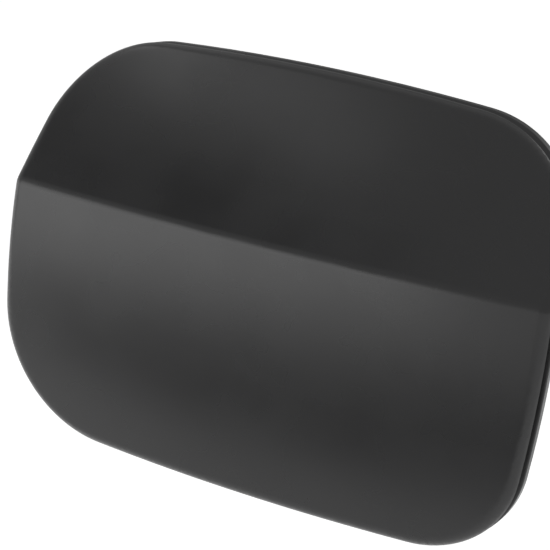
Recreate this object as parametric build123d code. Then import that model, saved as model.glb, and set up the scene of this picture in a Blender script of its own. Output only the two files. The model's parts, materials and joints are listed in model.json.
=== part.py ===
from build123d import *
import os
from math import atan2, cos, degrees, radians, sin, sqrt

# Car fuel door: a creased and crowned outer panel, snapped to a moulded inner panel.
# The inner panel swings on a sprung pin.
# Millimetres. X runs right across the door, Z runs up, and the outer face looks along -Y.
# The functions work from the middle of the door's outline, with the crease at y = 0.
# The finished pieces are moved so that the origin is the middle of the hinge bracket's bolting face.

# Outline, seen from the front: four bowed edges between square corners, which are then rounded
panel_w = 192.0
panel_h = 138.0
bow_top = 5.6
bow_bottom = 1.7
bow_left = 4.2
bow_right = 6.3
corner_top_left = 37.0
corner_top_right = 48.0
corner_bottom_left = 46.0
corner_bottom_right = 35.5
outline_turn = -0.7        # degrees between the outline and the crease

# Outer face: two arcs in section that meet at the crease, crowned about an upright axis
crease_z = 19.95
crease_r = 7.0
crease_min_r = 1.2         # least rounding of the crease deeper in the panels
upper_lean = 32.0          # degrees by which the face leans back as it leaves the crease
upper_r = 920.0
lower_lean = -1.0
lower_r = 400.0
crown_r = 700.0

# Sections of the two panels, as depths behind the outer face
skin_t = 2.5
edge_roll = 5.0
seam = 4.4                 # open groove between the outer panel and the inner panel's rim
seam_depth = 2.6
neck_t = 1.8               # wall of the inner panel behind the groove
neck_gap = 0.1
rim_t = 3.8
rim_w = 4.5
rim_round = 0.6
web_t = 2.0
rib_t = 1.6
rib_h = 3.5
rib_inset = 13.0
rib_bars = (-16.0, 50.0)
seat_rise = 1.0            # of the bosses' flat tops over the web

# Snap hooks of the outer panel and their slots in the inner panel
hook_count = 8
hook_inset = 9.0
hook_w = 8.0
hook_t = 1.8
hook_nose = 1.0
hook_nose_h = 1.8
hook_gap = 0.3

# Hinge: stamped arm on the door, stamped bracket on the car, pin, bushes and torsion spring
hinge_inset = 14.0         # from the outline's left corners to the pin
hinge_z = -22.0
open_angle = 100.0
arm_t = 2.5
arm_near = 14.0            # from the pin to the near and far ends of the arm's pad
arm_far = 52.0
arm_lobe_r = 7.5
arm_window_r = 6.0
bend_r = 1.0
bracket_t = 2.5
bracket_half = 20.0        # half the distance between the bracket's ears
bracket_lobe_r = 6.5
foot_near = 10.0
foot_w = 30.0
foot_back = 27.4           # from the pin to the bolting face
bolt_spacing = 26.0
bolt_hole_d = 6.6
pin_d = 6.0
pin_fit = 0.05             # radial running clearance in the bushes
pin_hold = 0.02            # radial clearance in the bracket's ears
pin_head_d = 10.0
pin_head_h = 2.4
pin_head_round = 0.8
pin_tail = 2.2
pin_tip = 0.5              # chamfer of the pin's end
thrust_gap = 0.3
bush_wall = 1.2
bush_seat = 0.02
bush_flange_d = 13.0
bush_flange_t = 1.2
clip_t = 0.9
clip_d = 11.0
clip_mouth = 4.3
clip_fit = 0.1
groove_d = 4.8
wire_d = 1.8
coil_d = 10.8
coil_pitch = 2.2
coil_turns = 8
leg_gap = 0.3
leg_angle = 135.0          # where the coil's lower end leaves it, in degrees round the pin
door_leg_angle = 270.0     # where its upper end leaves it
door_leg = 26.0

# Rubber stop for the open door, on a wing of the bracket
wing_edge = 1.5
wing_h = 14.0
wing_round = 4.5
stop_d = 9.0
stop_round = 1.5
stop_stem_d = 4.8
stop_gap = 0.7
stop_stem_gap = 0.6        # from the stem's end to the bolting face

# Screws
screw_d = 4.0
screw_fit = 0.2
screw_len = 8.0
screw_head_d = 8.0
screw_head_h = 2.6
screw_head_round = 1.0
screw_hex = 3.0
screw_hex_depth = 1.4
boss_d = 9.5
arm_screw_x = 11.0         # half the distance between the arm's screws, across and up
arm_screw_z = 18.0

# Striker with the eye for the lock bolt
striker_inset = 20.0       # from the outline's right corners
striker_z = -10.0
striker_t = 2.0
striker_w = 18.0
striker_h = 38.0
striker_reach = 24.0
striker_tongue_h = 20.0
striker_round = 6.0
striker_screw_z = 13.0
eye_w = 9.0
eye_h = 13.0
eye_edge = 4.0

# Rubber buffers
buffer_d = 12.0
buffer_h = 7.0
buffer_round = 2.5
buffer_stem_d = 5.0
buffer_fit = 0.1
buffer_boss_d = 15.0
upper_buffer_inset = (34.0, 27.0)   # from the outline's right corners, across and along its height
lower_buffer_inset = (26.0, 25.0)

# Holder for the filler cap
holder_x = 22.0
holder_z = -26.0
holder_w = 38.0
holder_h = 22.0
holder_t = 2.2
holder_reach = 26.0
holder_round = 6.0
notch_w = 16.0
notch_floor = 8.0
holder_stem_x = 13.0
holder_stem_d = 5.0
holder_boss_d = 9.0

# Depths of the inner panel behind the outer face
rim_front = skin_t + seam
web_back = rim_front + web_t
rim_back = rim_front + rim_t


def face_y(x, z, depth=0.0):
    """Where a surface at a depth behind the outer face lies at x and z, without the crease's rounding."""
    lean, radius, run = radians(lower_lean), lower_r, crease_z - z
    if z > crease_z:
        lean, radius, run = radians(upper_lean), upper_r, z - crease_z
    drop = radius * cos(lean) - sqrt((radius - depth) ** 2 - (run + radius * sin(lean)) ** 2)
    return crown_r - sqrt((crown_r - drop) ** 2 - x**2)


def seat(x, z, w, h):
    """A flat seat across the inner panel's bosses, just clear of the web under a rectangle."""
    corners = [(x + i * w / 2, z + k * h / 2) for i in (-1, 1) for k in (-1, 1)]
    return max(face_y(*corner, web_back) for corner in corners) + seat_rise


# Places that follow from these sizes, measured from the middle of the door
hinge_x = hinge_inset - panel_w / 2
striker_x = panel_w / 2 - striker_inset
upper_buffer_at = (panel_w / 2 - upper_buffer_inset[0], panel_h / 2 - upper_buffer_inset[1])
lower_buffer_at = (panel_w / 2 - lower_buffer_inset[0], lower_buffer_inset[1] - panel_h / 2)
arm_half = bracket_half + bracket_t + thrust_gap + bush_flange_t
arm_x = hinge_x + (arm_near + arm_far) / 2
arm_y = seat(arm_x, hinge_z, arm_far - arm_near, 2 * (arm_half + arm_t))
hinge_y = arm_y + arm_t + leg_gap + wire_d / 2 + coil_d / 2
foot_x = hinge_x + foot_near + foot_w / 2
foot_y = hinge_y + foot_back
striker_y = seat(striker_x, striker_z, striker_w, striker_h)
holder_y = seat(holder_x, holder_z, holder_w, holder_h)
buffer_places = [
    (x, z, seat(x, z, buffer_boss_d, buffer_boss_d)) for x, z in (upper_buffer_at, lower_buffer_at)
]
reach = foot_back + panel_h / 2


def outline(inset=0.0):
    """Front outline of the door, drawn in evenly by an inset."""
    w, h = panel_w / 2, panel_h / 2
    edges = [
        ThreePointArc((-w, h), (0, h + bow_top), (w, h)),
        ThreePointArc((w, h), (w + bow_right, 0), (w, -h)),
        ThreePointArc((w, -h), (0, -h - bow_bottom), (-w, -h)),
        ThreePointArc((-w, -h), (-w - bow_left, 0), (-w, h)),
    ]
    shape = make_face(edges)
    corners = [
        ((-w, h), corner_top_left),
        ((w, h), corner_top_right),
        ((w, -h), corner_bottom_right),
        ((-w, -h), corner_bottom_left),
    ]
    for corner, radius in corners:
        shape = fillet(shape.vertices().sort_by_distance(corner)[0], radius)
    shape = Rot(0, 0, outline_turn) * shape
    if inset:
        shape = offset(shape, -inset)
    return Plane.XZ * shape


def through(sketch):
    """A sketch on the door's plane, drawn right through the door along Y."""
    return extrude(sketch, amount=reach, both=True)


def spot(x, z, shape):
    """A flat shape laid on the door's plane at x and z."""
    return Plane.XZ * Pos(x, z) * shape


def form(depth=0.0):
    """All that lies deeper than a depth behind the outer face: two discs in section, crowned by a turn.

    The turn reaches twice as far as the door is wide.
    """
    up, low = radians(upper_lean), radians(lower_lean)
    upper = Pos(upper_r * cos(up), crease_z - upper_r * sin(up)) * Circle(upper_r - depth)
    lower = Pos(lower_r * cos(low), crease_z + lower_r * sin(low)) * Circle(lower_r - depth)
    section = upper & lower & Rectangle(2 * reach, 2 * panel_h)
    ridge = section.vertices().sort_by(Axis.X)[0]
    section = fillet(ridge, max(crease_r - depth, crease_min_r))
    upright = Axis((0, crown_r, 0), (0, 0, 1))
    span = 4 * degrees(atan2(panel_w / 2, crown_r - reach))
    return revolve(Plane.YZ * section, upright, span).rotate(upright, -span / 2)


def post(x, z, diameter, top):
    """A round boss on the inner panel, from its web back to a flat top."""
    return extrude(Pos(0, top, 0) * spot(x, z, Circle(diameter / 2)), amount=reach) & form(rim_front)


def turned(points):
    """A turned piece on the Z axis, from the corners of its half section."""
    return revolve(Plane.XZ * make_face(Polyline(*points, close=True)), Axis.Z)


def border(faces):
    """The edges round a group of faces: those that belong to only one of them."""
    edges = [edge for face in faces for edge in face.edges()]
    return ShapeList(e for e in edges if sum(e.is_same(other) for other in edges) == 1)


def front_faces(solid):
    """The faces that look forwards."""
    return solid.faces().filter_by(lambda face: face.normal_at().Y < -0.5)


def hook_places():
    """Places of the snap hooks, evenly round the door and square to its edge."""
    loop = outline(hook_inset).wire()
    planes = []
    for i in range(hook_count):
        share = (i + 0.5) / hook_count
        planes.append(Plane(loop @ share, x_dir=loop % share, z_dir=(0, -1, 0)))
    return planes


def outer_panel():
    """Creased skin with a rolled edge, and snap hooks behind it."""
    blank = form() & through(outline())
    skin = fillet(border(front_faces(blank)), edge_roll) - form(skin_t)
    shank = Sketch() + [place * Rectangle(hook_w, hook_t) for place in hook_places()]
    nose = Pos(0, -(hook_t + hook_nose) / 2) * Rectangle(hook_w, hook_nose)
    noses = Sketch() + [place * nose for place in hook_places()]
    hook_end = form(web_back + hook_gap + hook_nose_h)
    shanks = through(shank) & form(skin_t / 2) - hook_end
    return skin + shanks + (through(noses) & form(web_back + hook_gap) - hook_end)


def rib_lines():
    """Plan of the stiffening ribs: a ring inside the rim and three bars, clear of the mounted pieces."""
    inside = outline(rib_inset)
    ring = inside - outline(rib_inset + rib_t)
    bars = [spot(x, 0, Rectangle(rib_t, 2 * panel_h)) for x in rib_bars]
    bars.append(spot(0, crease_z, Rectangle(2 * panel_w, rib_t)))
    arm_w = arm_far + 2 * arm_lobe_r + 2 * rib_t
    arm_middle = hinge_x - 2 * arm_lobe_r + arm_w / 2
    clear = [
        spot(arm_middle, hinge_z, Rectangle(arm_w, 2 * arm_half + 4 * arm_t)),
        spot(striker_x, striker_z, Rectangle(striker_w + 2 * rib_t, striker_h + 2 * rib_t)),
        spot(holder_x, holder_z, Rectangle(holder_w + 2 * rib_t, holder_h + 2 * rib_t)),
    ]
    clear += [spot(x, z, Circle(buffer_boss_d / 2)) for x, z, _ in buffer_places]
    return ring + [bar & inside for bar in bars] - clear


def inner_panel():
    """Moulded carrier: rim flush with the door's edge, neck behind the seam, web, ribs and bosses."""
    rim = (through(outline()) & form(rim_front)) - form(rim_back)
    back_faces = rim.faces().filter_by(lambda face: face.normal_at().Y > 0.5)
    rim = fillet(border(front_faces(rim)) + border(back_faces), rim_round)
    neck = through(outline(seam_depth) - outline(seam_depth + neck_t))
    neck = neck & form(skin_t + neck_gap) - form(web_back)
    panel = rim + neck - (through(outline(rim_w)) & form(web_back))
    panel += through(rib_lines()) & form(rim_front + web_t / 2) - form(web_back + rib_h)
    bosses = [(x, z, boss_d, arm_y) for x, z in arm_screw_places()]
    bosses += [(x, z, boss_d, striker_y) for x, z in striker_screw_places()]
    bosses += [(x, z, holder_boss_d, holder_y) for x, z in holder_stem_places()]
    bosses += [(x, z, buffer_boss_d, y) for x, z, y in buffer_places]
    panel += [post(*boss) for boss in bosses]
    screw_places = arm_screw_places() + striker_screw_places()
    holes = [spot(x, z, Circle(screw_d / 2 + screw_fit)) for x, z in screw_places]
    holes += [spot(x, z, Circle(holder_stem_d / 2 + buffer_fit)) for x, z in holder_stem_places()]
    holes += [spot(x, z, Circle(buffer_stem_d / 2 + buffer_fit)) for x, z, _ in buffer_places]
    slot = Rectangle(hook_w + 2 * hook_gap, hook_t + 2 * hook_gap)
    holes += [place * slot for place in hook_places()]
    return panel - through(Sketch() + holes)


def arm_screw_places():
    """Where the four screws hold the arm."""
    return [(arm_x + i * arm_screw_x, hinge_z + k * arm_screw_z) for i in (-1, 1) for k in (-1, 1)]


def striker_screw_places():
    """Where the two screws hold the striker."""
    return [(striker_x, striker_z + k * striker_screw_z) for k in (-1, 1)]


def holder_stem_places():
    """Where the cap holder's two stems go through the inner panel."""
    return [(holder_x + i * holder_stem_x, holder_z) for i in (-1, 1)]


def channel(seat, back, half, t):
    """A stamped U along X: a web with its outside at the seat, and two long ears in one direction."""
    long = 2 * reach
    outside = Pos(seat + back * long / 2, hinge_z) * RectangleRounded(long, 2 * (half + t), bend_r + t)
    inside = Pos(seat + back * (t + long / 2), hinge_z) * RectangleRounded(long, 2 * half, bend_r)
    return extrude(Plane.YZ * (outside - inside), amount=panel_w, both=True)


def ear(near, far, seat, back, t, lobe_r):
    """Side view of a U, drawn along Z: the hull of a lobe round the pin and the U's web."""
    web = Pos(hinge_x + (near + far) / 2, seat + back * t / 2) * Rectangle(far - near, t)
    lobe = Pos(hinge_x, hinge_y) * Circle(lobe_r)
    return extrude(make_hull(web.edges() + lobe.edges()), amount=2 * panel_h, both=True)


def pin_hole(radius):
    """A hole along the hinge's axis."""
    return Pos(hinge_x, hinge_y, hinge_z) * Cylinder(radius, 2 * panel_h)


def hinge_arm():
    """Stamped arm on the door: a pad with four screw holes and two ears for the bushes."""
    arm = channel(arm_y, 1, arm_half, arm_t) & ear(arm_near, arm_far, arm_y, 1, arm_t, arm_lobe_r)
    holes = [spot(x, z, Circle(screw_d / 2 + screw_fit)) for x, z in arm_screw_places()]
    holes.append(spot(arm_x, hinge_z, Circle(arm_window_r)))
    relief = Pos(hinge_x + arm_near - reach, hinge_y, hinge_z) * Box(2 * reach, 2 * reach, 2 * arm_half)
    return arm - relief - through(Sketch() + holes) - pin_hole(pin_d / 2 + pin_fit + bush_wall + bush_seat)


def stop_place():
    """Where the open door's left rim comes to, measured from the pin."""
    edge_x = outline().bounding_box().min.X
    x = edge_x - hinge_x
    y = face_y(edge_x, hinge_z, rim_back) - hinge_y
    turn = radians(open_angle)
    return x * cos(turn) + y * sin(turn), -x * sin(turn) + y * cos(turn)


def hinge_bracket():
    """Stamped bracket on the car: a foot with bolt holes, two ears for the pin and a wing for the stop."""
    bracket = channel(foot_y, -1, bracket_half, bracket_t)
    bracket &= ear(foot_near, foot_near + foot_w, foot_y, -1, bracket_t, bracket_lobe_r)
    stop_x = hinge_x + stop_place()[0]
    wing_end = stop_x - stop_d / 2 - wing_edge
    wing_plan = RectangleRounded(foot_x - wing_end, wing_h, wing_round)
    wing = spot((wing_end + foot_x) / 2, hinge_z, wing_plan)
    bracket += extrude(Pos(0, foot_y, 0) * wing, amount=bracket_t)
    holes = [spot(foot_x, hinge_z + k * bolt_spacing / 2, Circle(bolt_hole_d / 2)) for k in (-1, 1)]
    holes.append(spot(stop_x, hinge_z, Circle(stop_stem_d / 2 + buffer_fit)))
    return bracket - through(Sketch() + holes) - pin_hole(pin_d / 2 + pin_hold)


def hinge_pin():
    """Headed pin with a groove for its clip."""
    top = arm_half + arm_t + thrust_gap
    groove = top + clip_t + clip_fit
    tail = groove + pin_tail
    r = pin_d / 2
    points = [
        (0, top + pin_head_h),
        (pin_head_d / 2, top + pin_head_h),
        (pin_head_d / 2, top),
        (r, top),
        (r, -top),
        (groove_d / 2, -top),
        (groove_d / 2, -groove),
        (r, -groove),
        (r, -tail),
        (0, -tail),
    ]
    pin = turned(points)
    rims = pin.edges().filter_by(GeomType.CIRCLE).group_by(Axis.Z)
    pin = fillet(rims[-1], pin_head_round)
    pin = chamfer(pin.edges().filter_by(GeomType.CIRCLE).group_by(Axis.Z)[0], pin_tip)
    return Pos(hinge_x, hinge_y, hinge_z) * pin


def pin_clip():
    """Snap ring in the pin's groove, with an open mouth."""
    ring = Circle(clip_d / 2) - Circle(groove_d / 2 + pin_hold)
    ring -= Pos(clip_d / 2, 0) * Rectangle(clip_d, clip_mouth)
    low = hinge_z - arm_half - arm_t - thrust_gap - clip_t - clip_fit / 2
    return Pos(hinge_x, hinge_y, low) * extrude(ring, clip_t)


def bush(side):
    """Flanged bush in an ear of the arm: its flange faces the bracket, above or below the middle."""
    bore = pin_d / 2 + pin_fit
    points = [
        (bore, arm_half - bush_flange_t),
        (bush_flange_d / 2, arm_half - bush_flange_t),
        (bush_flange_d / 2, arm_half),
        (bore + bush_wall, arm_half),
        (bore + bush_wall, arm_half + arm_t),
        (bore, arm_half + arm_t),
    ]
    shape = turned([(x, side * z) for x, z in points])
    return Pos(hinge_x, hinge_y, hinge_z) * shape


def hinge_spring():
    """Torsion spring round the pin: one leg bears on the bracket's foot, the other on the arm's pad."""
    turns = coil_turns + (door_leg_angle - leg_angle) / 360
    height = coil_pitch * turns
    coil = Rot(0, 0, leg_angle) * Helix(coil_pitch, height, coil_d / 2)
    coil = Pos(hinge_x, hinge_y, hinge_z - height / 2) * coil
    start = coil @ 0
    foot_leg = (foot_y - bracket_t - leg_gap - wire_d / 2 - start.Y) / -(coil % 0).Y
    lower = Line(start - (coil % 0) * foot_leg, start)
    upper = Line(coil @ 1, coil @ 1 + (coil % 1) * door_leg)
    path = Wire([lower, coil, upper])
    return sweep(Plane(path @ 0, z_dir=path % 0) * Circle(wire_d / 2), path)


def along_y(x, y, z, shape):
    """A piece turned on the Z axis, laid with its top backwards along Y."""
    return Pos(x, y, z) * Rot(-90, 0, 0) * shape


def open_stop():
    """Rubber stop on the bracket's wing, tall enough to meet the door's rim at the open limit."""
    x, y = stop_place()
    height = foot_back - bracket_t - y - stop_gap
    points = [(0, -height), (stop_d / 2, -height), (stop_d / 2, 0), (stop_stem_d / 2, 0)]
    stem = bracket_t - stop_stem_gap
    points += [(stop_stem_d / 2, stem), (0, stem)]
    shape = turned(points)
    tip = shape.edges().filter_by(GeomType.CIRCLE).group_by(Axis.Z)[0]
    shape = fillet(tip, stop_round)
    return along_y(hinge_x + x, foot_y - bracket_t, hinge_z, shape)


def screws(places, seat):
    """Like screws with a domed head and a hexagon socket, their heads on a seat that faces backwards."""
    points = [(0, -screw_len), (screw_d / 2, -screw_len), (screw_d / 2, 0), (screw_head_d / 2, 0)]
    points += [(screw_head_d / 2, screw_head_h), (0, screw_head_h)]
    screw = turned(points)
    screw = fillet(screw.edges().filter_by(GeomType.CIRCLE).group_by(Axis.Z)[-1], screw_head_round)
    socket = RegularPolygon(screw_hex / 2, 6, major_radius=False)
    screw -= Pos(0, 0, screw_head_h - screw_hex_depth) * extrude(socket, screw_hex_depth)
    return Compound(children=[along_y(x, seat, z, screw) for x, z in places])


def striker():
    """Stamped striker: a plate on the inner panel and a tongue with the eye for the lock bolt."""
    left = striker_x - striker_w / 2
    plate = Pos(striker_x, striker_y + striker_t / 2, striker_z) * Box(striker_w, striker_t, striker_h)
    middle = striker_y + striker_reach / 2
    tongue = Pos(left + striker_t / 2, middle, striker_z) * Box(striker_t, striker_reach, striker_tongue_h)
    corners = tongue.edges().filter_by(Axis.X).group_by(Axis.Y)[-1]
    shape = plate + fillet(corners, striker_round)
    inner_bend = shape.edges().sort_by_distance((left + striker_t, striker_y + striker_t, striker_z))[0]
    shape = fillet(inner_bend, bend_r)
    shape = fillet(shape.edges().filter_by(Axis.Y).group_by(Axis.X)[-1], striker_round / 2)
    eye_y = striker_y + striker_reach - eye_edge - eye_w / 2
    eye = Plane.YZ * Pos(eye_y, striker_z) * SlotOverall(eye_h, eye_w, rotation=90)
    holes = [spot(x, z, Circle(screw_d / 2 + screw_fit)) for x, z in striker_screw_places()]
    return shape - extrude(eye, amount=panel_w, both=True) - through(Sketch() + holes)


def buffer(x, z, seat):
    """Rubber buffer with a domed head and a stem through the inner panel."""
    stem = seat - face_y(x, z) - rim_front
    points = [(0, -stem), (buffer_stem_d / 2, -stem), (buffer_stem_d / 2, 0), (buffer_d / 2, 0)]
    points += [(buffer_d / 2, buffer_h), (0, buffer_h)]
    shape = turned(points)
    shape = fillet(shape.edges().filter_by(GeomType.CIRCLE).group_by(Axis.Z)[-1], buffer_round)
    return along_y(x, seat, z, shape)


def cap_holder():
    """Moulded shelf with a notch for the filler cap, two gussets and two stems."""
    low = holder_z - holder_h / 2
    plate = spot(holder_x, holder_z, RectangleRounded(holder_w, holder_h, holder_t))
    shape = extrude(Pos(0, holder_y, 0) * plate, amount=-holder_t)
    shelf = Pos(holder_x, holder_y + holder_reach / 2) * Rectangle(holder_w, holder_reach)
    shelf = fillet(shelf.vertices().group_by(Axis.Y)[-1], holder_round)
    notch_top = holder_y + notch_floor + notch_w / 2
    shelf -= Pos(holder_x, notch_top) * Circle(notch_w / 2)
    shelf -= Pos(holder_x, notch_top + holder_reach / 2) * Rectangle(notch_w, holder_reach)
    shape += Pos(0, 0, low) * extrude(shelf, holder_t)
    corner = (holder_y, low)
    front, top = (holder_y + holder_reach / 2, low), (holder_y, low + holder_h - holder_t)
    side = Polyline(corner, front, top, close=True)
    gusset = extrude(Plane.YZ * make_face(side), amount=holder_t)
    shape += [Pos(holder_x + x, 0, 0) * gusset for x in (-holder_w / 2, holder_w / 2 - holder_t)]
    for x, z in holder_stem_places():
        stem = holder_y - face_y(x, z) - rim_front
        shape += extrude(Pos(0, holder_y, 0) * spot(x, z, Circle(holder_stem_d / 2)), amount=stem)
    return shape


nodes = {
    "outer_panel": outer_panel(),
    "inner_panel": inner_panel(),
    "hinge_arm": hinge_arm(),
    "arm_screws": screws(arm_screw_places(), arm_y + arm_t),
    "upper_bush": bush(1),
    "lower_bush": bush(-1),
    "striker": striker(),
    "striker_screws": screws(striker_screw_places(), striker_y + striker_t),
    "upper_buffer": buffer(*buffer_places[0]),
    "lower_buffer": buffer(*buffer_places[1]),
    "cap_holder": cap_holder(),
    "hinge_bracket": hinge_bracket(),
    "hinge_pin": hinge_pin(),
    "pin_clip": pin_clip(),
    "hinge_spring": hinge_spring(),
    "open_stop": open_stop(),
}

os.makedirs("parts", exist_ok=True)
for name, shape in nodes.items():
    export_step(Pos(-foot_x, -foot_y, -hinge_z) * shape, f"parts/{name}.step")
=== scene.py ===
import json
import math

import bpy
import numpy as np
from mathutils import Matrix, Quaternion, Vector


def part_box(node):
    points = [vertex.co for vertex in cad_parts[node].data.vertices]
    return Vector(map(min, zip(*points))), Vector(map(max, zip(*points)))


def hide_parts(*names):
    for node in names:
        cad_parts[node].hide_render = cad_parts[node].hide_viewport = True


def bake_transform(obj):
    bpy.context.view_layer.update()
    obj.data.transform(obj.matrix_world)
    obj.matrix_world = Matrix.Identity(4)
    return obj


# Car fuel door: satin black outer panel on a moulded inner panel, with its sprung hinge.
# Metres, in the frame of the solids.
# X runs right across the door, Z runs up, and the outer face looks along -Y.
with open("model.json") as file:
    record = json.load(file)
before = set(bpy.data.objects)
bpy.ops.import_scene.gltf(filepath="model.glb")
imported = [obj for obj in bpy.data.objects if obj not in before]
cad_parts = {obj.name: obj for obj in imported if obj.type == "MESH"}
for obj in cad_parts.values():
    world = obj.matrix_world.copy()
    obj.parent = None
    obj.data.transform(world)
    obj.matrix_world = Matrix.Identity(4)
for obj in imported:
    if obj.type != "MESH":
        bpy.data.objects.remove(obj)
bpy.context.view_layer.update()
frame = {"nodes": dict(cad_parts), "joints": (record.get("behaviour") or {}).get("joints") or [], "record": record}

# Hinge axis and the torsion spring round it
hinge_axis = Vector(frame["joints"][0]["pos_m"])
wire_d = 0.0018
coil_r = 0.0054
coil_pitch = 0.0022
coil_start = math.radians(135.0)       # where the lower leg leaves the coil, round the pin
coil_sweep = math.radians(8 * 360 + 135)   # eight turns and three eighths
door_leg = 0.026                       # length of the upper leg, along the arm
foot_leg_y = -0.0037                   # how far back the lower leg reaches, just clear of the foot
coil_steps = 700
leg_steps = 12
wire_sides = 20

# Middle of the door's outline, at the front of the crease
door_middle = Vector((0.057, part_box("outer_panel")[0][1], 0.022))

# Shading of the solids
weld_gap = 0.000002
crisp_angle = math.radians(28.0)       # edges that turn further than this stay crisp
large_face_weight = 100                # how strongly large faces set the shading of the rounds beside them

# Textures of the finishes; each detail is how many finer sizes a noise has in it
noise_low = 0.3                        # range of a noise that is spread over a whole mottle
noise_high = 0.7
slow_detail = 3.0
slow_share = 0.6                       # share of the slow patches in a mottle with flecks
grain_detail = 2.0
finer_grain = 3.0                      # how many times finer the second size of grain is
wear_and_sheen_scale = 900.0                     # breaks in the wear and painted sheen along an edge
wear_and_sheen_detail = 4.0
wear_and_sheen_start = 0.01                      # turn of the edge at which wear and painted sheen begin, and at which they are full
wear_and_sheen_full = 0.1
spangle_low = 0.5                      # share of a crystal's tone that the slow patches leave at least
line_scale = (5.0, 5.0, 60.0)          # drawn lines: fine round the wire and long along it
line_detail = 4.0

# Camera, measured from the door's middle, with angles in degrees
camera_yaw = 25.0
camera_pitch = 14.0
camera_roll = 7.987
camera_distance = 0.57014
camera_aim = Vector((0.01061, 0.0, 0.01124))
camera_near = 0.01
image_px = 550
focal_px = 1747.8
sensor_mm = 36.0

# Floor all round the door, with a low upward sweep at its back
floor_z = -0.33
floor_front = -6.0
floor_back = 4.0
floor_half = 6.0
sweep_r = 0.5
sweep_steps = 24
floor_white = 0.8
floor_lift = 0.6                       # glow that brings the lit floor up to white
floor_roughness = 0.9

# Painted shade: a dark patch in the floor's colour that only the door's reflections show; its middle, and how far
# it reaches to each side
painted_shade_patch = {
    "x": 0.1, "y": -0.515, "turn": -3.0, "depth": 0.74,
    "left": 1.3, "right": 0.95, "near": 0.64, "far": 0.11,
}

# Light of the room: a plain level all round with two dark patches.
# Each patch has its middle as azimuth and elevation, and its reach to each side, in degrees.
room_level = 0.6
front_patch = {
    "azimuth": -40.9, "elevation": 46.7, "tilt": 21.0, "depth": 1.0,
    "left": 45.3, "right": 22.4, "down": 13.2, "up": 9.0,
}
rear_patch = {
    "azimuth": -158.0, "elevation": 29.8, "tilt": 0.0, "depth": 0.62,
    "left": 74.0, "right": 26.7, "down": 55.7, "up": 28.9,
}
patch_core = 0.25                      # share of a patch's reach over which it is fully dark

# Softboxes by azimuth, elevation and turn in degrees, width and height, and brightness
lamp_distance = 1.2
lamps = {
    "low_lamp": (-34.5, -3.9, -4.5, 1.3, 0.605, 1.54),
    "high_lamp": (-78.0, 49.0, 2.1, 0.6, 0.148, 1.55),
    "brow_lamp": (-43.5, 54.6, 7.5, 0.4, 0.17, 1.05),
    "side_lamp": (-84.0, -1.0, 0.0, 0.2, 0.39, 1.6),
    "rear_lamp": (158.0, 20.0, 0.0, 0.6, 0.5, 0.8),
}


def direction(azimuth, elevation):
    """Unit vector from the door, by degrees to the right of straight ahead and degrees up."""
    a, e = math.radians(azimuth), math.radians(elevation)
    return Vector((math.sin(a) * math.cos(e), -math.cos(a) * math.cos(e), math.sin(e)))


def turned_pair(across, upward, degrees):
    """Two square directions turned in their own plane, the first one towards the second."""
    cos, sin = math.cos(math.radians(degrees)), math.sin(math.radians(degrees))
    return cos * across + sin * upward, cos * upward - sin * across


def add_object(name, data):
    """An object in the scene, at the origin."""
    obj = bpy.data.objects.new(name, data)
    bpy.context.scene.collection.objects.link(obj)
    return obj


def grid_faces(rows, columns, wrap):
    """Quads between the rows of a grid of points, closed round the columns where wrap is set."""
    across = columns if wrap else columns - 1
    i = np.arange(rows - 1)[:, None]
    j = np.arange(across)[None, :]
    k = (j + 1) % columns
    quads = (i * columns + j, i * columns + k, (i + 1) * columns + k, (i + 1) * columns + j)
    return np.stack(quads, axis=-1).reshape(-1, 4)


def grid_mesh(name, points, wrap=False, caps=False):
    """Smooth mesh from a grid of points, rows first; caps close the first and last row of a tube."""
    rows, columns = points.shape[:2]
    faces = grid_faces(rows, columns, wrap).tolist()
    if caps:
        faces.append(list(range(columns))[::-1])
        faces.append(list(range((rows - 1) * columns, rows * columns)))
    mesh = bpy.data.meshes.new(name)
    mesh.from_pydata(points.reshape(-1, 3), [], faces)
    mesh.shade_smooth()
    return mesh


def tube(path, normal, radius, sides):
    """Rings round a path: its points plus the radius times a circle in the plane of two normals.

    The second normal is the path's direction crossed with the first one.
    """
    along = np.gradient(path, axis=0)
    along /= np.linalg.norm(along, axis=1, keepdims=True)
    normal = normal - along * (normal * along).sum(1, keepdims=True)
    normal /= np.linalg.norm(normal, axis=1, keepdims=True)
    side = np.cross(along, normal)
    turn = np.linspace(0, 2 * np.pi, sides, endpoint=False)
    circle = np.cos(turn)[:, None] * normal[:, None] + np.sin(turn)[:, None] * side[:, None]
    return path[:, None] + radius * circle


def spring_path():
    """Centre line of the spring, the outward normal along it, and the height of the coil.

    The coil is a helix: angle and height grow evenly from its lower end.
    Both legs leave it along its tangent.
    """
    angle = coil_start + coil_sweep * np.linspace(0, 1, coil_steps)
    height = coil_pitch * coil_sweep / (2 * np.pi)
    rise = np.linspace(-height / 2, height / 2, coil_steps)
    level = np.zeros(coil_steps)
    outward = np.stack([np.cos(angle), np.sin(angle), level], axis=1)
    coil = coil_r * outward + np.stack([level, level, rise], axis=1) + np.array(hinge_axis)
    slope = np.full(coil_steps, coil_pitch / (2 * np.pi))
    leave = np.stack([-coil_r * np.sin(angle), coil_r * np.cos(angle), slope], axis=1)
    leave /= np.linalg.norm(leave, axis=1, keepdims=True)
    foot_leg = (coil[0, 1] - foot_leg_y) / leave[0, 1]
    share = np.linspace(0, 1, leg_steps, endpoint=False)[:, None]
    lower = coil[0] - leave[0] * foot_leg * (1 - share)
    upper = coil[-1] + leave[-1] * door_leg * (1 - share[::-1])
    path = np.concatenate([lower, coil, upper])
    normal = np.pad(outward, ((leg_steps, leg_steps), (0, 0)), mode="edge")
    return path, normal, height


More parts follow.
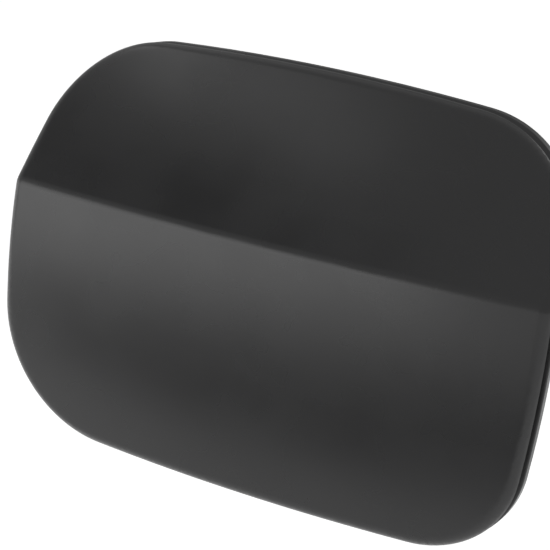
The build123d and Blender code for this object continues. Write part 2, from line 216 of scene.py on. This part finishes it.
def mark_wire(mesh, path):
    """Point attribute for the drawn lines: a unit circle round the wire, and the length along it."""
    step = np.linalg.norm(np.diff(path, axis=0), axis=1)
    along = np.concatenate([[0], np.cumsum(step)])
    turn = np.linspace(0, 2 * np.pi, wire_sides, endpoint=False)
    circle = np.tile(np.stack([np.cos(turn), np.sin(turn)], axis=1), (len(path), 1))
    place = np.concatenate([circle, np.repeat(along, wire_sides)[:, None]], axis=1)
    mesh.attributes.new("wire", "FLOAT_VECTOR", "POINT").data.foreach_set("vector", place.ravel())


def make_spring(wire_finish):
    """Torsion spring: a round wire carried along its centre line, winding up as the door opens."""
    path, normal, height = spring_path()
    points = tube(path, normal, wire_d / 2, wire_sides)
    mesh = grid_mesh("hinge_spring_wire", points, wrap=True, caps=True)
    mark_wire(mesh, path)
    spring = add_object("hinge_spring_wire", mesh)
    spring.data.materials.append(wire_finish)
    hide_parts("hinge_spring")
    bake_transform(spring)


def set_input(tree, socket, value):
    """Link a socket to another socket, or give it a value."""
    if isinstance(value, bpy.types.NodeSocket):
        tree.links.new(value, socket)
    else:
        socket.default_value = value


def own_place(tree):
    """The object's own coordinates."""
    return tree.nodes.new("ShaderNodeTexCoord").outputs["Object"]


def noise(tree, scale, detail, vector=None):
    """A noise texture on the object's own coordinates, or on another vector."""
    texture = tree.nodes.new("ShaderNodeTexNoise")
    tree.links.new(vector or own_place(tree), texture.inputs["Vector"])
    texture.inputs["Detail"].default_value = detail
    set_input(tree, texture.inputs["Scale"], scale)
    return texture.outputs["Fac"]


def math_node(tree, operation, first, second=0.0):
    """A sum, product or the like of two sockets or numbers."""
    node = tree.nodes.new("ShaderNodeMath")
    node.operation = operation
    set_input(tree, node.inputs[0], first)
    set_input(tree, node.inputs[1], second)
    return node.outputs[0]


def dot(tree, first, second):
    """Dot product of a socket with another socket or a fixed vector."""
    node = tree.nodes.new("ShaderNodeVectorMath")
    node.operation = "DOT_PRODUCT"
    set_input(tree, node.inputs[0], first)
    set_input(tree, node.inputs[1], second)
    return node.outputs["Value"]


def map_range(tree, value, from_min, from_max, to_min, to_max, kind="SMOOTHSTEP"):
    """Value carried from one range to another, smoothly unless another kind is named."""
    node = tree.nodes.new("ShaderNodeMapRange")
    node.interpolation_type = kind
    limits = (value, from_min, from_max, to_min, to_max)
    for socket, number in zip(node.inputs, limits):
        set_input(tree, socket, number)
    return node.outputs["Result"]


def blend_colour(tree, factor, first, second):
    """A colour between two others, each given as numbers or a socket."""
    mix = tree.nodes.new("ShaderNodeMix")
    mix.data_type = "RGBA"
    tree.links.new(factor, mix.inputs["Factor"])
    colour_inputs = mix.inputs[6:8]
    for socket, colour in zip(colour_inputs, (first, second)):
        set_input(tree, socket, colour if isinstance(colour, bpy.types.NodeSocket) else (*colour, 1))
    colour_output = mix.outputs[2]
    return colour_output


def new_group(name, inputs, outputs):
    """An empty shader node group with float inputs and their defaults, and float outputs."""
    group = bpy.data.node_groups.new(name, "ShaderNodeTree")
    for label, value in inputs.items():
        socket = group.interface.new_socket(label, in_out="INPUT", socket_type="NodeSocketFloat")
        socket.default_value = value
    for label in outputs:
        group.interface.new_socket(label, in_out="OUTPUT", socket_type="NodeSocketFloat")
    start = group.nodes.new("NodeGroupInput")
    end = group.nodes.new("NodeGroupOutput")
    return group, start, end


def patches_group():
    """Slow unevenness of a surface: noise carried to a range between Low and High."""
    group, start, end = new_group("patches", {"Scale": 20.0, "Low": 0.0, "High": 1.0}, ["Value"])
    cloud = noise(group, start.outputs["Scale"], slow_detail)
    value = map_range(group, cloud, noise_low, noise_high, start.outputs["Low"], start.outputs["High"])
    group.links.new(value, end.inputs["Value"])
    return group


def grain_group():
    """Fine relief of a surface: two sizes of noise added, the second one finer."""
    group, start, end = new_group("grain", {"Scale": 500.0}, ["Height"])
    coarse = noise(group, start.outputs["Scale"], grain_detail)
    finer = math_node(group, "MULTIPLY", start.outputs["Scale"], finer_grain)
    total = math_node(group, "ADD", coarse, noise(group, finer, grain_detail))
    group.links.new(total, end.inputs["Height"])
    return group


def edges_group():
    """Edges, worn on most finishes and with a painted sheen on the moulded plastic: High where a rounded normal
    turns away from the surface's own, and Low on the flats.
    """
    group, start, end = new_group("edges", {"Radius": 0.0004, "Low": 0.0, "High": 1.0}, ["Mask"])
    rounded = group.nodes.new("ShaderNodeBevel")
    group.links.new(start.outputs["Radius"], rounded.inputs["Radius"])
    own = group.nodes.new("ShaderNodeNewGeometry").outputs["Normal"]
    turned = math_node(group, "SUBTRACT", 1.0, dot(group, rounded.outputs["Normal"], own))
    broken = math_node(group, "MULTIPLY", turned, noise(group, wear_and_sheen_scale, wear_and_sheen_detail))
    mask = map_range(group, broken, wear_and_sheen_start, wear_and_sheen_full, start.outputs["Low"], start.outputs["High"])
    group.links.new(mask, end.inputs["Mask"])
    return group


patches = patches_group()
grain = grain_group()
edges = edges_group()


def place_group(tree, group, **inputs):
    """A group placed in a material with its own values; gives its first output."""
    node = tree.nodes.new("ShaderNodeGroup")
    node.node_tree = group
    for label, value in inputs.items():
        node.inputs[label].default_value = value
    return node.outputs[0]


def flecks(scale, fleck_scale):
    """Mottle of slow patches with fine flecks."""
    def mottle(tree):
        slow = math_node(tree, "MULTIPLY", place_group(tree, patches, Scale=scale), slow_share)
        fine = math_node(tree, "MULTIPLY", place_group(tree, patches, Scale=fleck_scale), 1.0 - slow_share)
        return math_node(tree, "ADD", slow, fine)
    return mottle


def spangle(scale):
    """Mottle of plated crystals: each cell round a scattered point has one tone, under slow patches."""
    def mottle(tree):
        cells = tree.nodes.new("ShaderNodeTexVoronoi")
        cells.inputs["Scale"].default_value = scale
        tree.links.new(own_place(tree), cells.inputs["Vector"])
        split = tree.nodes.new("ShaderNodeSeparateColor")
        tree.links.new(cells.outputs["Color"], split.inputs["Color"])
        slow = place_group(tree, patches, Scale=scale, Low=spangle_low)
        return math_node(tree, "MULTIPLY", split.outputs["Red"], slow)
    return mottle


def drawn_lines(tree):
    """Mottle of a drawn wire: noise on the wire's own place, drawn out along its length."""
    place = tree.nodes.new("ShaderNodeAttribute")
    place.attribute_name = "wire"
    stretch = tree.nodes.new("ShaderNodeMapping")
    stretch.inputs["Scale"].default_value = line_scale
    tree.links.new(place.outputs["Vector"], stretch.inputs["Vector"])
    lines = noise(tree, 1.0, line_detail, stretch.outputs[0])
    return map_range(tree, lines, noise_low, noise_high, 0.0, 1.0)


def new_material(name):
    """A material, with its node tree and its surface shader."""
    material = bpy.data.materials.new(name)
    material.use_nodes = True
    tree = material.node_tree
    return material, tree, tree.nodes["Principled BSDF"]


def finish(
    name, dark, light, mottle, gloss, gloss_scale, grain_scale, depth,
    metal=0.0, edge_r=0.0, edge_colour=None
):
    """A surface finish: two tones in a mottle, uneven gloss and a fine relief.

    Where an edge radius is given, edges are shaded round and given a colour of their own: wear on most finishes, a
    painted sheen on the moulded plastic.
    """
    material, tree, bsdf = new_material(name)
    bsdf.inputs["Metallic"].default_value = metal
    colour = blend_colour(tree, mottle(tree), dark, light)
    bump = tree.nodes.new("ShaderNodeBump")
    bump.inputs["Distance"].default_value = depth
    tree.links.new(place_group(tree, grain, Scale=grain_scale), bump.inputs["Height"])
    tree.links.new(bump.outputs["Normal"], bsdf.inputs["Normal"])
    if edge_r:
        # Lighter edge colour: wear, and on the moulded plastic a painted sheen
        colour = blend_colour(tree, place_group(tree, edges, Radius=edge_r), colour, edge_colour)
        rounded = tree.nodes.new("ShaderNodeBevel")
        rounded.inputs["Radius"].default_value = edge_r
        tree.links.new(rounded.outputs["Normal"], bump.inputs["Normal"])
    tree.links.new(colour, bsdf.inputs["Base Color"])
    rough = place_group(tree, patches, Scale=gloss_scale, Low=gloss[0], High=gloss[1])
    tree.links.new(rough, bsdf.inputs["Roughness"])
    return material


def satin_black():
    """Satin paint of the outer panel, with a slight orange peel."""
    return finish(
        "satin_black", dark=(0.0106, 0.0106, 0.0111), light=(0.0140, 0.0140, 0.0145),
        mottle=flecks(14.0, 1900.0), gloss=(0.25, 0.29), gloss_scale=32.0,
        grain_scale=700.0, depth=0.000003
    )


def moulded_black():
    """Moulded plastic with a spark-eroded grain, and a painted sheen: its edges are lighter in colour."""
    return finish(
        "moulded_black", dark=(0.014, 0.014, 0.0145), light=(0.021, 0.021, 0.0215),
        mottle=flecks(30.0, 2600.0), gloss=(0.30, 0.40), gloss_scale=70.0,
        # the edge colour here is a painted sheen, lighter than the plastic's own tone
        grain_scale=2200.0, depth=0.00002, edge_r=0.0003, edge_colour=(0.03, 0.03, 0.031)
    )


def coated_steel():
    """Dipped black coat on stamped steel, thin and grey where it runs over the cut edges."""
    return finish(
        "coated_steel", dark=(0.015, 0.0155, 0.017), light=(0.023, 0.0235, 0.025),
        mottle=flecks(60.0, 1500.0), gloss=(0.28, 0.4), gloss_scale=140.0,
        grain_scale=900.0, depth=0.000008, edge_r=0.0004, edge_colour=(0.075, 0.077, 0.08)
    )


def zinc_steel():
    """Zinc plate of the screws, pin, clip and striker, with a fine spangle."""
    return finish(
        "zinc_steel", dark=(0.47, 0.48, 0.50), light=(0.70, 0.70, 0.68),
        mottle=spangle(1400.0), gloss=(0.22, 0.36), gloss_scale=300.0, metal=1.0,
        grain_scale=1500.0, depth=0.000005, edge_r=0.0003, edge_colour=(0.80, 0.80, 0.79)
    )


def spring_steel():
    """Drawn spring wire, oiled, with fine lines along it."""
    return finish(
        "spring_steel", dark=(0.22, 0.22, 0.23), light=(0.46, 0.46, 0.46),
        mottle=drawn_lines, gloss=(0.24, 0.38), gloss_scale=400.0, metal=1.0,
        grain_scale=2500.0, depth=0.000003
    )


def bush_plastic():
    """Undyed hard plastic of the bushes."""
    return finish(
        "bush_plastic", dark=(0.66, 0.63, 0.54), light=(0.77, 0.75, 0.67),
        mottle=flecks(150.0, 1800.0), gloss=(0.38, 0.5), gloss_scale=250.0,
        grain_scale=1500.0, depth=0.000008, edge_r=0.0003, edge_colour=(0.84, 0.83, 0.77)
    )


def rubber():
    """Matt rubber with a dusty bloom."""
    return finish(
        "rubber", dark=(0.011, 0.011, 0.011), light=(0.024, 0.0238, 0.0232),
        mottle=flecks(110.0, 2200.0), gloss=(0.62, 0.8), gloss_scale=200.0,
        grain_scale=1800.0, depth=0.00003
    )


def make_finishes():
    """The finishes by the record's slots."""
    makers = (satin_black, moulded_black, coated_steel, zinc_steel, spring_steel, bush_plastic, rubber)
    return {maker.__name__: maker() for maker in makers}


def even_shading(obj):
    """Shade rounded edges evenly into their flat neighbours, and keep crisp edges crisp."""
    weld = obj.modifiers.new("weld", "WELD")
    weld.merge_threshold = weld_gap
    split = obj.modifiers.new("crisp_edges", "EDGE_SPLIT")
    split.split_angle = crisp_angle
    split.use_edge_sharp = False
    weigh = obj.modifiers.new("even_normals", "WEIGHTED_NORMAL")
    weigh.mode = "FACE_AREA"
    weigh.weight = large_face_weight


def dress(finishes):
    """Give every node of the frame the finish of its material slot, with evenly shaded edges."""
    for part in frame["record"]["subparts"]:
        node = frame["nodes"][part["node"]]
        even_shading(node)
        node.data.materials.clear()
        node.data.materials.append(finishes[part["material_slot"]])


def to_side(tree, distance, low, high):
    """A distance from a patch's middle as a share of its reach, which differs from side to side."""
    over = math_node(tree, "DIVIDE", distance, high)
    under = math_node(tree, "DIVIDE", distance, -low)
    return math_node(tree, "MAXIMUM", over, under)


def outside_patch(tree, across, along):
    """One outside a patch and nothing in its core, from two distances as shares of its reach."""
    across_square = math_node(tree, "MULTIPLY", across, across)
    along_square = math_node(tree, "MULTIPLY", along, along)
    away = math_node(tree, "SQRT", math_node(tree, "ADD", across_square, along_square))
    return map_range(tree, away, patch_core, 1.0, 0.0, 1.0)


def light_left(tree, outside, depth):
    """Share of the light that a patch of some depth leaves."""
    return map_range(tree, outside, 0.0, 1.0, 1.0 - depth, 1.0, "LINEAR")


def painted_floor_shade(tree):
    """Share of the floor's colour that its patch of painted shade leaves, from the distances to its middle."""
    place = tree.nodes.new("ShaderNodeMapping")
    place.vector_type = "TEXTURE"
    place.inputs["Location"].default_value = (painted_shade_patch["x"], painted_shade_patch["y"], floor_z)
    place.inputs["Rotation"].default_value = (0, 0, math.radians(painted_shade_patch["turn"]))
    tree.links.new(own_place(tree), place.inputs["Vector"])
    split = tree.nodes.new("ShaderNodeSeparateXYZ")
    tree.links.new(place.outputs[0], split.inputs[0])
    across = to_side(tree, split.outputs["X"], painted_shade_patch["left"], painted_shade_patch["right"])
    along = to_side(tree, split.outputs["Y"], painted_shade_patch["near"], painted_shade_patch["far"])
    return light_left(tree, outside_patch(tree, across, along), painted_shade_patch["depth"])


def floor_finish():
    """Pale floor: its own lit colour, lifted to white where it is seen directly, mirrored or through glass.

    The dark patch, painted shade in its colour, shows only where the door mirrors the floor.
    """
    material, tree, bsdf = new_material("floor")
    bsdf.inputs["Roughness"].default_value = floor_roughness
    bsdf.inputs["Specular IOR Level"].default_value = 0.0
    bsdf.inputs["Emission Color"].default_value = (1, 1, 1, 1)
    ray = tree.nodes.new("ShaderNodeLightPath").outputs
    # Painted shade: for glossy rays only, the floor's colour and glow darken in the patch
    not_mirrored = math_node(tree, "SUBTRACT", 1.0, ray["Is Glossy Ray"])
    pale = math_node(tree, "MAXIMUM", painted_floor_shade(tree), not_mirrored)
    tree.links.new(math_node(tree, "MULTIPLY", pale, floor_white), bsdf.inputs["Base Color"])
    seen = math_node(tree, "MAXIMUM", ray["Is Camera Ray"], ray["Is Glossy Ray"])
    seen = math_node(tree, "MAXIMUM", seen, ray["Is Transmission Ray"])
    lift = math_node(tree, "MULTIPLY", pale, floor_lift)
    tree.links.new(math_node(tree, "MULTIPLY", seen, lift), bsdf.inputs["Emission Strength"])
    return material


def make_floor():
    """Floor and sweep: a profile of floor and quarter round, from front to back, carried along X."""
    bend = np.linspace(-np.pi / 2, 0, sweep_steps)
    bend_y = floor_back - sweep_r + sweep_r * np.cos(bend)
    bend_z = floor_z + sweep_r + sweep_r * np.sin(bend)
    points = np.empty((sweep_steps + 1, 2, 3))
    points[:, :, 0] = (-floor_half, floor_half)
    points[:, :, 1] = np.append(floor_front, bend_y)[:, None]
    points[:, :, 2] = np.append(floor_z, bend_z)[:, None]
    floor = add_object("floor", grid_mesh("floor", points))
    floor.data.materials.append(floor_finish())


def sky_patch(tree, toward, patch):
    """Share of the room's light left by a dark patch of the sky.

    The distances from its middle are two dot products, each over the sine of its reach to that side.
    """
    middle = direction(patch["azimuth"], patch["elevation"])
    level = direction(patch["azimuth"] + 90, 0)
    across, upward = turned_pair(level, level.cross(-middle), patch["tilt"])
    reach = {side: math.sin(math.radians(patch[side])) for side in ("left", "right", "down", "up")}
    u = to_side(tree, dot(tree, toward, across), reach["left"], reach["right"])
    v = to_side(tree, dot(tree, toward, upward), reach["down"], reach["up"])
    behind = math_node(tree, "LESS_THAN", dot(tree, toward, middle), 0.0)
    outside = math_node(tree, "MAXIMUM", outside_patch(tree, u, v), behind)
    return light_left(tree, outside, patch["depth"])


def make_world():
    """Light of the room: a plain level with soft dark patches, and white where it is seen directly."""
    world = bpy.data.worlds.new("room")
    world.use_nodes = True
    tree = world.node_tree
    toward = tree.nodes.new("ShaderNodeTexCoord").outputs["Generated"]
    front = sky_patch(tree, toward, front_patch)
    rear = sky_patch(tree, toward, rear_patch)
    level = math_node(tree, "MULTIPLY", math_node(tree, "MULTIPLY", front, rear), room_level)
    seen = tree.nodes.new("ShaderNodeLightPath").outputs["Is Camera Ray"]
    background = tree.nodes["Background"]
    background.inputs["Color"].default_value = (1, 1, 1, 1)
    tree.links.new(math_node(tree, "MAXIMUM", level, seen), background.inputs["Strength"])
    bpy.context.scene.world = world


def softbox(name, azimuth, elevation, turn, width, height, brightness):
    """A flat lamp that faces the door; its power is its brightness times pi times its area."""
    lamp = bpy.data.lights.new(name, "AREA")
    lamp.shape = "RECTANGLE"
    lamp.size = width
    lamp.size_y = height
    lamp.energy = brightness * math.pi * width * height
    obj = add_object(name, lamp)
    toward = direction(azimuth, elevation)
    obj.location = door_middle + toward * lamp_distance
    spin = Quaternion((0, 0, 1), math.radians(turn))
    obj.rotation_euler = (toward.to_track_quat("Z", "Y") @ spin).to_euler()
    obj.visible_camera = False


def make_lamps():
    """The softboxes round the door."""
    for name, values in lamps.items():
        softbox(name, *values)


def make_camera():
    """Camera that looks at the door from the right and above, rolled about its line of sight."""
    back = direction(camera_yaw, camera_pitch)
    level = direction(camera_yaw + 90, 0)
    right, up = turned_pair(level, back.cross(level), camera_roll)
    data = bpy.data.cameras.new("camera")
    data.sensor_width = sensor_mm
    data.lens = sensor_mm * focal_px / image_px
    data.clip_start = camera_near
    camera = add_object("camera", data)
    turn = Matrix((right, up, back)).transposed().to_4x4()
    camera.matrix_world = Matrix.Translation(door_middle + camera_aim + back * camera_distance) @ turn
    bpy.context.scene.camera = camera


bpy.context.scene.view_settings.view_transform = "Standard"
finishes = make_finishes()
dress(finishes)
make_spring(finishes["spring_steel"])
make_floor()
make_world()
make_lamps()
make_camera()

bpy.context.view_layer.update()
